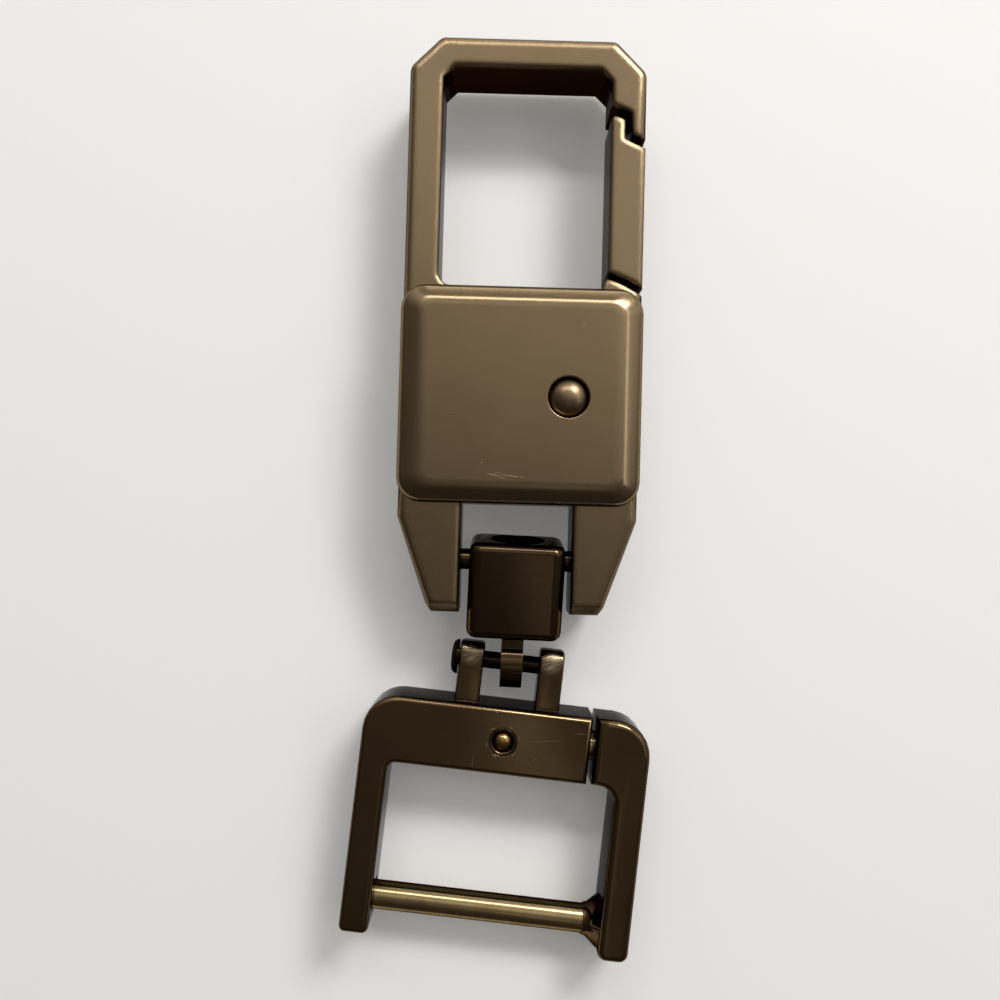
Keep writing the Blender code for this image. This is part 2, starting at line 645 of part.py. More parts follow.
def build_gate_spring(wire):
    start = WINDOW_LEFT - SPRING_POCKET + SEAT_GAP
    length = spring_end_x() - start
    coil("gate_spring", SPRING_RADIUS, SPRING_WIRE, SPRING_TURNS, length, wire, None,
         (start, SPRING_HEIGHT, MIDDLE_Z), (0, pi / 2, 0))


def build_cross_pin(steel):
    reach = prong_outer(CROSS_PIN_Y) - CROSS_PIN_SINK - CROSS_PIN_RADIUS * 0.35
    shape = rod(CROSS_PIN_RADIUS, -reach, reach, SMALL_SIDES, CHAMFER, ALONG_X)
    finish_object("cross_pin", shape, steel, place=(0, CROSS_PIN_Y, MIDDLE_Z))


def build_barrel(finish, axis):
    half_x = BARREL_WIDTH / 2
    half_z = BARREL_THICKNESS / 2
    section = outline([(half_x, half_z, BARREL_CORNER), (-half_x, half_z, BARREL_CORNER),
                       (-half_x, -half_z, BARREL_CORNER), (half_x, -half_z, BARREL_CORNER)])
    shape = prism(section, -BARREL_TAIL, BARREL_HEAD, BARREL_EDGE, turn=ALONG_Y)
    barrel = finish_object("swivel_barrel", shape, finish, axis)
    well = HEAD_RADIUS + RUN_GAP
    head_floor = -(CROSS_PIN_RADIUS + HEAD_ROOM + HEAD_HEIGHT + WASHER_THICKNESS + 2 * SEAT_GAP)
    end = half_x + OVERSHOOT
    head_room = rod(well, head_floor, BARREL_HEAD + OVERSHOOT, LARGE_SIDES, turn=ALONG_Y)
    stem_hole = rod(STEM_RADIUS + RUN_GAP, -BARREL_TAIL - OVERSHOOT, 0, LARGE_SIDES, turn=ALONG_Y)
    pin_hole = rod(CROSS_PIN_RADIUS + BARREL_PLAY, -end, end, LARGE_SIDES, turn=ALONG_X)
    cut(barrel, helper("head_room", head_room, axis), helper("stem_hole", stem_hole, axis),
        helper("barrel_pin_hole", pin_hole, axis))
    return head_floor


def build_stem(finish, steel, axis, head_floor):
    washer_top = head_floor + WASHER_THICKNESS + SEAT_GAP
    inner = STEM_RADIUS + RUN_GAP
    profile = [(inner, head_floor + SEAT_GAP), (HEAD_RADIUS, head_floor + SEAT_GAP),
               (HEAD_RADIUS, washer_top), (inner, washer_top)]
    washer = revolved(profile, LARGE_SIDES, ALONG_Y, ring=True)
    finish_object("stem_washer", washer, steel, axis)

    seat = washer_top + SEAT_GAP
    crown = seat + HEAD_HEIGHT
    foot = -BARREL_TAIL - RUN_GAP
    profile = [(STEM_RADIUS, foot), (STEM_RADIUS, seat), (HEAD_RADIUS - CHAMFER, seat),
               (HEAD_RADIUS, seat + CHAMFER), (HEAD_RADIUS, crown - CHAMFER),
               (HEAD_RADIUS - CHAMFER, crown)]
    stem = finish_object("swivel_stem", revolved(profile, SMALL_SIDES, ALONG_Y), finish, axis)
    inside = sqrt(STEM_RADIUS ** 2 - (EYE_WIDTH / 2) ** 2) - RUN_GAP
    meet = degrees(asin(STEM_RADIUS / EYE_RADIUS))
    eye = arc((-LINK_LENGTH, 0), EYE_RADIUS, meet, 360 - meet, LARGE_SIDES - ROUND_STEPS)
    points = [(foot + OVERSHOOT, inside), (foot, inside), (foot - CHAMFER, STEM_RADIUS), *eye,
              (foot - CHAMFER, -STEM_RADIUS), (foot, -inside), (foot + OVERSHOOT, -inside)]
    tongue = prism(points, -EYE_WIDTH / 2, EYE_WIDTH / 2, turn=EDGE_ON)
    add(stem, helper("stem_tongue", tongue, axis))
    hole = rod(CLEVIS_PIN_RADIUS + CLEVIS_PLAY, -EYE_WIDTH, EYE_WIDTH, SMALL_SIDES, turn=ALONG_X)
    cut(stem, helper("stem_eye_hole", hole, axis, (0, -LINK_LENGTH, 0)))


def build_key_frame(finish, axis):
    thick = KEY_THICKNESS / 2
    foot = KEY_TOP - KEY_HEIGHT
    inner_top = KEY_TOP - KEY_BAR_HEIGHT
    corners = [
        (PARTING_X, KEY_TOP, 0),
        (-KEY_LEFT, KEY_TOP, KEY_CORNER),
        (-KEY_LEFT, foot, KEY_TOE_ROUND),
        (LEG_INNER, foot, KEY_TOE_ROUND),
        (LEG_INNER, inner_top, 1.5 * KEY_TOE_ROUND),
        (PARTING_X, inner_top, 0),
    ]
    frame = finish_object("key_frame", prism(outline(corners), -thick, thick, KEY_EDGE), finish, axis)
    ear_back = KEY_TOP - 2 * KEY_EDGE
    ear = outline([(EAR_RADIUS, EAR_RADIUS, EAR_ROUND), (ear_back, EAR_RADIUS, 0),
                   (ear_back, -EAR_RADIUS, 0), (EAR_RADIUS, -EAR_RADIUS, EAR_ROUND)])
    reach = EAR_GAP / 2 + EAR_WIDTH + OVERSHOOT
    pin_hole = rod(CLEVIS_PIN_RADIUS + SEAT_GAP, -reach, reach, SMALL_SIDES, turn=ALONG_X)
    pin_hole = helper("ear_pin_hole", pin_hole, axis)
    for name, start in (("left", -EAR_GAP / 2 - EAR_WIDTH), ("right", EAR_GAP / 2)):
        shape = prism(ear, start, start + EAR_WIDTH, EAR_EDGE, 2, turn=EDGE_ON)
        ear_object = helper("ear_" + name, shape, axis)
        cut(ear_object, pin_hole)
        add(frame, ear_object)
    rod_turn = Matrix.Translation((0, ROD_Y, 0)) @ ALONG_X
    rod_hole = rod(ROD_RADIUS + RUN_GAP, ARM_X - ROD_REACH - 4 * RUN_GAP, ARM_X, LARGE_SIDES, turn=rod_turn)
    bar_turn = Matrix.Translation((0, BAR_Y, 0)) @ ALONG_X
    socket = BAR_RADIUS + RUN_GAP
    rim = socket + CHAMFER
    profile = [(socket, LEG_INNER - BAR_SOCKET), (socket, LEG_INNER - CHAMFER),
               (rim, LEG_INNER), (rim, LEG_INNER + OVERSHOOT)]
    bar_hole = revolved(profile, LARGE_SIDES, bar_turn)
    ball_hole = rod(BALL_SLEEVE_RADIUS + SEAT_GAP, ROD_RADIUS / 2, thick + OVERSHOOT, LARGE_SIDES)
    cut(frame, helper("rod_hole", rod_hole, axis), helper("bar_socket", bar_hole, axis),
        helper("ball_hole", ball_hole, axis, (0, ROD_Y, 0)))


def build_clevis_pin(steel, axis):
    outer = EAR_GAP / 2 + EAR_WIDTH
    head = outer + SEAT_GAP
    profile = [(CLEVIS_PIN_RADIUS - CHAMFER / 2, outer - CHAMFER / 2),
               (CLEVIS_PIN_RADIUS, outer - CHAMFER), (CLEVIS_PIN_RADIUS, -head),
               (CLEVIS_HEAD_RADIUS, -head), (CLEVIS_HEAD_RADIUS, -head - 0.4 * CLEVIS_HEAD),
               (0.85 * CLEVIS_HEAD_RADIUS, -head - 0.8 * CLEVIS_HEAD),
               (0.5 * CLEVIS_HEAD_RADIUS, -head - CLEVIS_HEAD)]
    shape = revolved(list(reversed(profile)), SMALL_SIDES, ALONG_X)
    finish_object("clevis_pin", shape, steel, axis)


def build_ball_lock(brass, steel, wire, key_axis, ball_axis):
    top = KEY_THICKNESS / 2 - SEAT_GAP
    bottom = top - BALL_SLEEVE_HEIGHT
    lip = top - BALL_LIP_HEIGHT
    inner = BALL_RADIUS + SEAT_GAP
    profile = [(inner, bottom), (BALL_SLEEVE_RADIUS, bottom), (BALL_SLEEVE_RADIUS, top),
               (BALL_LIP_RADIUS + BALL_LIP_BEVEL, top), (BALL_LIP_RADIUS, top - BALL_LIP_BEVEL),
               (BALL_LIP_RADIUS, lip), (inner, lip)]
    sleeve = revolved(profile, LARGE_SIDES, ring=True)
    finish_object("ball_sleeve", sleeve, steel, key_axis, (0, ROD_Y, 0))
    shape = bmesh.new()
    bmesh.ops.create_uvsphere(shape, u_segments=SMALL_SIDES, v_segments=16, radius=BALL_RADIUS)
    finish_object("release_ball", shape, brass, ball_axis)
    floor = ROD_FLAT_Z - DIMPLE_DEPTH + SEAT_GAP
    length = BALL_Z - BALL_RADIUS - floor - SEAT_GAP
    coil("ball_spring", BALL_SPRING_RADIUS, BALL_SPRING_WIRE, BALL_SPRING_TURNS, length, wire,
         key_axis, (0, ROD_Y, floor), (0, 0, 0))


def build_pull_section(finish, steel, axis):
    """The side arm, its guide rod and the key bar, about the guide rod's axis."""
    thick = KEY_THICKNESS / 2
    top = KEY_TOP - ROD_Y
    foot = top - KEY_HEIGHT
    inner_top = top - KEY_BAR_HEIGHT
    bar_y = BAR_Y - ROD_Y
    corners = [
        (KEY_RIGHT, top, KEY_CORNER),
        (ARM_X, top, 0),
        (ARM_X, inner_top, 0),
        (ARM_INNER, inner_top, ARM_INNER_ROUND),
        (ARM_INNER, foot, ARM_TOE_ROUND),
        (KEY_RIGHT, foot, ARM_TOE_ROUND),
    ]
    arm = finish_object("side_arm", prism(outline(corners), -thick, thick, ARM_EDGE), finish, axis)
    bar_turn = Matrix.Translation((0, bar_y, 0)) @ ALONG_X
    profile = [(BAR_RADIUS + 2 * SEAT_GAP, ARM_INNER - BOSS_LENGTH),
               (BAR_RADIUS + CHAMFER, ARM_INNER - 0.75 * BOSS_LENGTH), (BOSS_FLARE, ARM_INNER),
               (BOSS_FLARE, ARM_INNER + ARM_EDGE)]
    add(arm, helper("bar_boss", revolved(profile, LARGE_SIDES, bar_turn), axis))
    rod_seat = rod(ROD_RADIUS + SEAT_GAP, ARM_X - OVERSHOOT, ARM_X + ROD_SEAT, LARGE_SIDES, turn=ALONG_X)
    bar_seat = rod(BAR_RADIUS + SEAT_GAP, ARM_INNER - BOSS_LENGTH - OVERSHOOT, ARM_INNER + BAR_SEAT,
                   LARGE_SIDES, turn=bar_turn)
    cut(arm, helper("rod_seat", rod_seat, axis), helper("bar_seat", bar_seat, axis))

    start = ARM_X - ROD_REACH
    shape = rod(ROD_RADIUS, start, ARM_X + ROD_SEAT - SEAT_GAP, SMALL_SIDES, CHAMFER, ALONG_X)
    guide = finish_object("guide_rod", shape, steel, axis)
    flat_end = start + ROD_FLAT_REACH
    flat = [(start - OVERSHOOT, -2 * ROD_RADIUS), (flat_end, -2 * ROD_RADIUS),
            (flat_end, 2 * ROD_RADIUS), (start - OVERSHOOT, 2 * ROD_RADIUS)]
    dimple = rod(DIMPLE_RADIUS, ROD_FLAT_Z - DIMPLE_DEPTH, ROD_RADIUS + OVERSHOOT, SMALL_SIDES)
    cut(guide, helper("rod_flat", prism(flat, ROD_FLAT_Z, ROD_RADIUS + OVERSHOOT), axis),
        helper("rod_dimple", dimple, axis))

    bar_start = LEG_INNER - BAR_SOCKET + RUN_GAP
    bar_end = ARM_INNER + BAR_SEAT - SEAT_GAP
    shape = rod(BAR_RADIUS, bar_start, bar_end, LARGE_SIDES, CHAMFER, bar_turn)
    finish_object("key_bar", shape, steel, axis)


def main():
    clear_scene()
    plated = metal("gunmetal plate", (0.16, 0.13, 0.09), 0.28)
    steel = metal("plated steel", (0.30, 0.27, 0.21), 0.22)
    brass = metal("brass", (0.62, 0.44, 0.17), 0.25)
    wire = metal("spring wire", (0.45, 0.45, 0.44), 0.35)

    gate_axis = axis_empty("gate_axis", (PIVOT_X, PIVOT_Y, MIDDLE_Z))
    barrel_axis = axis_empty("barrel_axis", (BARREL_SHIFT, CROSS_PIN_Y, MIDDLE_Z),
                             turn=(TILT, 0, -radians(BARREL_SKEW)))
    stem_axis = axis_empty("stem_axis", (0, 0, 0), barrel_axis)
    key_axis = axis_empty("key_axis", (0, -LINK_LENGTH, 0), stem_axis,
                          (-TILT, 0, -radians(KEY_SKEW)), "ZYX")
    pull_axis = axis_empty("pull_axis", (0, ROD_Y, 0), key_axis)
    ball_axis = axis_empty("ball_axis", (0, ROD_Y, BALL_Z), key_axis)

    build_hook_frame(plated)
    build_cover("front_cover", 1, RIVET_SINK, plated)
    build_cover("back_cover", -1, RIVET_TAIL + 2 * SEAT_GAP, plated)
    build_dowels(steel)
    build_gate(plated, gate_axis)
    build_gate_pivot(steel)
    build_gate_spring(wire)
    build_cross_pin(steel)
    head_floor = build_barrel(plated, barrel_axis)
    build_stem(plated, steel, stem_axis, head_floor)
    build_key_frame(plated, key_axis)
    build_clevis_pin(steel, key_axis)
    build_ball_lock(brass, steel, wire, key_axis, ball_axis)
    build_pull_section(plated, steel, pull_axis)

    for made in bpy.data.objects:
        if made.type == "MESH" and not made.hide_render:
            made.modifiers.new("face normals", "WEIGHTED_NORMAL").keep_sharp = True


main()
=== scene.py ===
import json
from math import cos, radians, sin

import bmesh
import bpy
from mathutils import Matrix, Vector


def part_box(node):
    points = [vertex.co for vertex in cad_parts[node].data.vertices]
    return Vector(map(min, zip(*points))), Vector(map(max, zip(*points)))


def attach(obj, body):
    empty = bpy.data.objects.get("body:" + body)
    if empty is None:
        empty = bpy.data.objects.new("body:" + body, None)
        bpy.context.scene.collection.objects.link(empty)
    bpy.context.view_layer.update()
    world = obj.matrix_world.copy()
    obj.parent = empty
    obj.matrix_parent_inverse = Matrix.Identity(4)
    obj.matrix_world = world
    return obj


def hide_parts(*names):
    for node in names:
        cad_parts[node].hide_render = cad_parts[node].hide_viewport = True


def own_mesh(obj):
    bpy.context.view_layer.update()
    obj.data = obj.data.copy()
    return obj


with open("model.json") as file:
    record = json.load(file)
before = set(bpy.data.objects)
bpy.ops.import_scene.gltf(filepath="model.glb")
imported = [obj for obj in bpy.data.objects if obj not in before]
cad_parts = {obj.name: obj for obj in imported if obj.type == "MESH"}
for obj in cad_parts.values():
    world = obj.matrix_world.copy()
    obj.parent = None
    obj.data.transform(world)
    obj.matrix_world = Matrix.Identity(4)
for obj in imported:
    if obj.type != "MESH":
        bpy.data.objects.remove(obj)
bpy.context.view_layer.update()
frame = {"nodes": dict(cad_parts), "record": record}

mm = 0.001
bodies = frame["record"]["behaviour"]["bodies"]
bodyOf = {node: body for body, members in bodies.items() for node in members}
print("frame loaded:", len(bodyOf), "nodes")


# colours are written as sRGB hex and turned to linear here
def linearColour(hexText):
    parts = [int(hexText[i:i + 2], 16) / 255 for i in (1, 3, 5)]
    return tuple(p / 12.92 if p <= 0.04045 else ((p + 0.055) / 1.055) ** 2.4 for p in parts) + (1.0,)


def addNode(tree, kind, settings, links):  # links holds plain values, or the sockets to join
    made = tree.nodes.new(kind)
    for key, value in settings.items():
        setattr(made, key, value)
    for key, value in links.items():
        if isinstance(value, bpy.types.NodeSocket):
            tree.links.new(value, made.inputs[key])
        else:
            made.inputs[key].default_value = value
    return made


# camera at the photo's angle, just above the keychain
cameraView = {
    "place": (-2.226, -14.216, 114.22),  # millimetres
    "turn": (0.0237, -0.0035, 0.0273), "lens": 33.92, "sensor": 36, "nearest": 5 * mm, "farthest": 20,
}


def setCamera(look):
    camera = bpy.data.objects.new("camera", bpy.data.cameras.new("camera"))
    bpy.context.scene.collection.objects.link(camera)
    camera.data.sensor_width = look["sensor"]
    camera.data.lens = look["lens"]
    camera.data.clip_start = look["nearest"]
    camera.data.clip_end = look["farthest"]
    camera.location = Vector(look["place"]) * mm
    camera.rotation_euler = look["turn"]
    bpy.context.scene.camera = camera


setCamera(cameraView)
print("camera set")

# a window beyond the hook lights the metal, and the room darkens towards the key frame
studio = {
    "floorColour": "#EDEEEF", "floorRadius": 2.5, "floorDrop": 0.02 * mm, "floorGlow": 0.15,
    "floorRoughness": 0.9, "floorGloss": 0.1,
    "brightSide": (0.25, 0.87, 0.42),  # the direction in which the room is brightest
    "darkEnd": -0.4,  # cosine from that direction at which the room's colours start
    "room": ((0.0, "#423D38"), (0.34, "#5F5A54"), (0.43, "#706B65"), (0.56, "#736E68"), (0.62, "#96918A"),
             (0.67, "#B2ADA5"), (0.73, "#CCC7BF"), (0.79, "#F2EEE8"), (0.82, "#E8E3DC"), (0.84, "#BFBAB2"),
             (0.90, "#ABA69F"), (1.0, "#9C9790")),
}
lamps = {
    "keyLight": {"from": (0.277, 0.42, 0.42), "size": (0.24, 0.18), "watts": 2.6, "colour": "#FFFCF8"},
    "ridgeLight": {"from": (-0.03, 0.468, 0.452), "size": (0.40, 0.065), "watts": 0.85,
                   "colour": "#FFFCF8"},
    "fillLight": {"from": (0.12, 0.76, 0.13), "size": (0.60, 0.12), "watts": 0.5, "colour": "#FFFCF8"},
    "sideLight": {"from": (0.46, 0.10, 0.45), "size": (0.50, 0.035), "watts": 0.22, "colour": "#FFFCF8"},
    "overheadCard": {"from": (0.052, -0.32, 0.85), "size": (0.06, 0.30), "watts": 0.019,
                     "colour": "#FFFAF2"},
}


def makeFloor(look):
    shape = bmesh.new()
    bmesh.ops.create_circle(shape, cap_ends=True, segments=96, radius=look["floorRadius"])
    bmesh.ops.translate(shape, verts=shape.verts, vec=(0, 0, -look["floorDrop"]))
    floorMesh = bpy.data.meshes.new("floor")
    shape.to_mesh(floorMesh)
    shape.free()
    paper = bpy.data.materials.new("palePaper")
    paper.use_nodes = True
    tree = paper.node_tree
    paint = tree.nodes["Principled BSDF"]
    paint.inputs["Base Color"].default_value = linearColour(look["floorColour"])
    paint.inputs["Roughness"].default_value = look["floorRoughness"]
    paint.inputs["Specular IOR Level"].default_value = look["floorGloss"]
    paint.inputs["Emission Color"].default_value = linearColour(look["floorColour"])
    rays = addNode(tree, "ShaderNodeLightPath", {}, {})
    mirrored = addNode(tree, "ShaderNodeMath", {"operation": "MAXIMUM"}, {
        0: rays.outputs["Is Glossy Ray"], 1: rays.outputs["Is Transmission Ray"]})
    seen = addNode(tree, "ShaderNodeMath", {"operation": "MAXIMUM"}, {
        0: rays.outputs["Is Camera Ray"], 1: mirrored.outputs["Value"]})
    glow = addNode(tree, "ShaderNodeMath", {"operation": "MULTIPLY"}, {
        0: seen.outputs["Value"], 1: look["floorGlow"]})
    tree.links.new(glow.outputs["Value"], paint.inputs["Emission Strength"])
    floorMesh.materials.append(paper)
    floor = bpy.data.objects.new("floor", floorMesh)
    bpy.context.scene.collection.objects.link(floor)


def hangLamps(look):
    for name, lamp in look.items():
        light = bpy.data.lights.new(name, "AREA")
        light.shape = "RECTANGLE"
        light.size, light.size_y = lamp["size"]
        light.energy = lamp["watts"]
        light.color = linearColour(lamp["colour"])[:3]
        holder = bpy.data.objects.new(name, light)
        bpy.context.scene.collection.objects.link(holder)
        holder.location = lamp["from"]
        holder.rotation_euler = (-Vector(lamp["from"])).to_track_quat("-Z", "Y").to_euler()
        holder.visible_camera = False


def paintRoom(look):
    world = bpy.data.worlds.new("studio")
    world.use_nodes = True
    bpy.context.scene.world = world
    tree = world.node_tree
    place = addNode(tree, "ShaderNodeTexCoord", {}, {}).outputs["Generated"]
    towards = addNode(tree, "ShaderNodeVectorMath", {"operation": "DOT_PRODUCT"}, {
        0: place, 1: look["brightSide"]})
    share = addNode(tree, "ShaderNodeMapRange", {}, {
        "Value": towards.outputs["Value"], "From Min": look["darkEnd"], "From Max": 1.0})
    room = addNode(tree, "ShaderNodeValToRGB", {}, {"Fac": share.outputs["Result"]})
    stops = room.color_ramp.elements
    for i, (position, colour) in enumerate(look["room"]):
        stop = stops[i] if i < 2 else stops.new(position)
        stop.position = position
        stop.color = linearColour(colour)
    tree.links.new(room.outputs["Color"], tree.nodes["Background"].inputs["Color"])


makeFloor(studio)
hangLamps(lamps)
paintRoom(studio)
bpy.context.scene.view_settings.view_transform = "Standard"
print("studio set")


# zinc casting, polished, then plated with black nickel: a warm dark mirror with a soft satin grain,
# with painted shade darkening its upright walls and its recesses to near-black, and paler along the rubbed
# edges
satinLook = {
    "colour": "#98856A", "shadeColour": "#8A785E", "wallShadeColour": "#3E3024", "wornAndHighlightColour": "#C2B292",
    "recessShadeColour": "#160D07", "grazeColour": "#9C9EA1", "patch": 8.0, "grain": 0.22, "roughness": 0.22,
    "grainRoughness": 0.03, "edge": 0.25, "edgeShow": 0.10, "recess": 1.6, "scratchShow": 0.13,
    "grainDepth": 0.0004,
}
# the same plate over a finer polish: darker, and close to a mirror
glossLook = {
    "colour": "#5A4936", "shadeColour": "#4C3D2C", "wallShadeColour": "#352A20", "wornAndHighlightColour": "#C8BA9C",
    "recessShadeColour": "#0E0805", "grazeColour": "#9C9D9D", "patch": 7.0, "grain": 0.20, "roughness": 0.13,
    "grainRoughness": 0.02, "edge": 0.10, "edgeShow": 0.16, "recess": 1.6, "scratchShow": 0.17,
    "grainDepth": 0.0002,
}
hookLook = dict(satinLook, edge=0.8, edgeShow=0.06)  # the wheel has rounded the bars' faces softly
coverLook = dict(satinLook, wallShadeColour="#7C694C", recess=0.3)  # its slopes are polished as its face is, so their painted wall shade is light and its painted recess shade reaches less far
keyLook = dict(glossLook, colour="#77644B", shadeColour="#5A4832")  # a little paler than the other polished plate
# steel pin under the same plate, painted nearly black as painted shade for the shadow it sits in between
# the ears
shadedPinLook = dict(glossLook, colour="#2E2118", shadeColour="#241A12", wornAndHighlightColour="#6E5C46")
# rivet head, pressed to a dome and rubbed all over: its highlight is soft, and the painted shade on its
# steep rim is light and reaches little into the well
domeLook = dict(satinLook, colour="#8B7860", shadeColour="#7A6850", wallShadeColour="#6B5A44",
                roughness=0.31, recess=0.12)

# scratches that the photo shows: middle in millimetres, turn in degrees, length, half width, strength
blockScratches = (
    ((-2.78, -9.00, 11.2), -12.3, 1.36, 0.060, 1.0), ((-0.69, -9.10, 11.2), -6.0, 3.32, 0.050, 0.85),
    ((-1.90, -9.25, 11.2), -20.0, 1.10, 0.040, 0.80), ((-2.30, -8.80, 11.2), 4.0, 0.90, 0.040, 0.70),
    ((-4.07, -7.70, 11.2), 20.0, 0.26, 0.080, 0.70), ((6.80, 7.60, 11.2), 35.0, 1.10, 0.030, 0.35),
)
keyScratches = (
    ((3.73, -38.77, 7.4), 2.7, 5.54, 0.035, 0.70), ((7.99, -37.82, 7.4), 1.5, 1.92, 0.040, 0.60),
    ((2.71, -40.87, 7.4), 38.0, 1.12, 0.040, 0.60), ((-4.21, -41.16, 7.4), 82.0, 2.04, 0.040, 0.45),
    ((-1.55, -35.65, 7.4), 10.0, 0.24, 0.080, 0.70),
)

# the ears' round ends, rubbed pale in short strokes, which also paints a highlight on them: middle, turn
# in degrees, half sizes, strength
rubbedAndHighlightedEnds = (
    ((-4.65, -29.30, 5.75), 18.0, (1.7, 1.5, 1.2), 0.85),
    ((4.57, -30.12, 5.75), 18.0, (1.7, 1.5, 1.2), 1.0),
)

# short punch marks round the ball, which hold its sleeve: each has an angle, a length and a strength
punchMarks = {
    "reach": 1.85, "face": 7.4, "slant": 80, "halfWidth": 0.09,
    "marks": ((15, 0.7, 0.6), (62, 0.5, 0.9), (128, 0.8, 0.7),
              (190, 0.5, 0.8), (238, 0.7, 0.9), (312, 0.6, 0.7)),
}


def ringOfMarks(look):
    ball = [sum(ends) / 2 / mm for ends in zip(*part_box("ball_sleeve"))]
    ring = []
    for angle, length, strength in look["marks"]:
        across = ball[0] + look["reach"] * cos(radians(angle))
        along = ball[1] + look["reach"] * sin(radians(angle))
        middle = (across, along, look["face"])
        ring.append((middle, angle + look["slant"], length, look["halfWidth"], strength))
    return tuple(ring)


# wear on all the plate. Sizes are in millimetres, and a fade is the pair of a pattern's values
# between which it goes from nothing to full
wear = {
    "hairline": (6, 0.10, 6), "hairlineTurns": ((0.3, 0.0), (1.25, 0.37), (-0.75, 0.71)),
    "hairlineFade": (0.72, 0.78), "cluster": 9, "clusterFade": (0.48, 0.66),
    "scratchDepth": 0.8, "scratchFade": (1.0, 0.2), "rubFade": (1.0, 0.35),
    "strokes": (1.2, 15.0, 1.2), "strokeFade": (0.38, 0.62), "strokeFloor": 0.25,
    "edgeFade": (0.99, 0.85), "recessFade": (0.5, 0.1), "recessShow": 0.85,
    "dulling": 0.4, "cutDepth": -3.0, "grainFade": (0.3, 0.7), "wallShadeFade": (0.72, 0.30),
}


def fade(name):
    return {"From Min": wear[name][0], "From Max": wear[name][1]}


def wallShadeShare(tree, spot):  # painted shade share: 0 on level faces, 1 on upright faces, which get darkened
    upright = addNode(tree, "ShaderNodeSeparateXYZ", {}, {0: spot.outputs["Normal"]})
    level = addNode(tree, "ShaderNodeMath", {"operation": "ABSOLUTE"}, {0: upright.outputs["Z"]})
    return addNode(tree, "ShaderNodeMapRange", {}, {
        "Value": level.outputs["Value"], **fade("wallShadeFade")}).outputs["Result"]


def stronger(tree, one, other):  # the greater of two marks
    return addNode(tree, "ShaderNodeMath", {"operation": "MAXIMUM"}, {0: one, 1: other}).outputs["Value"]


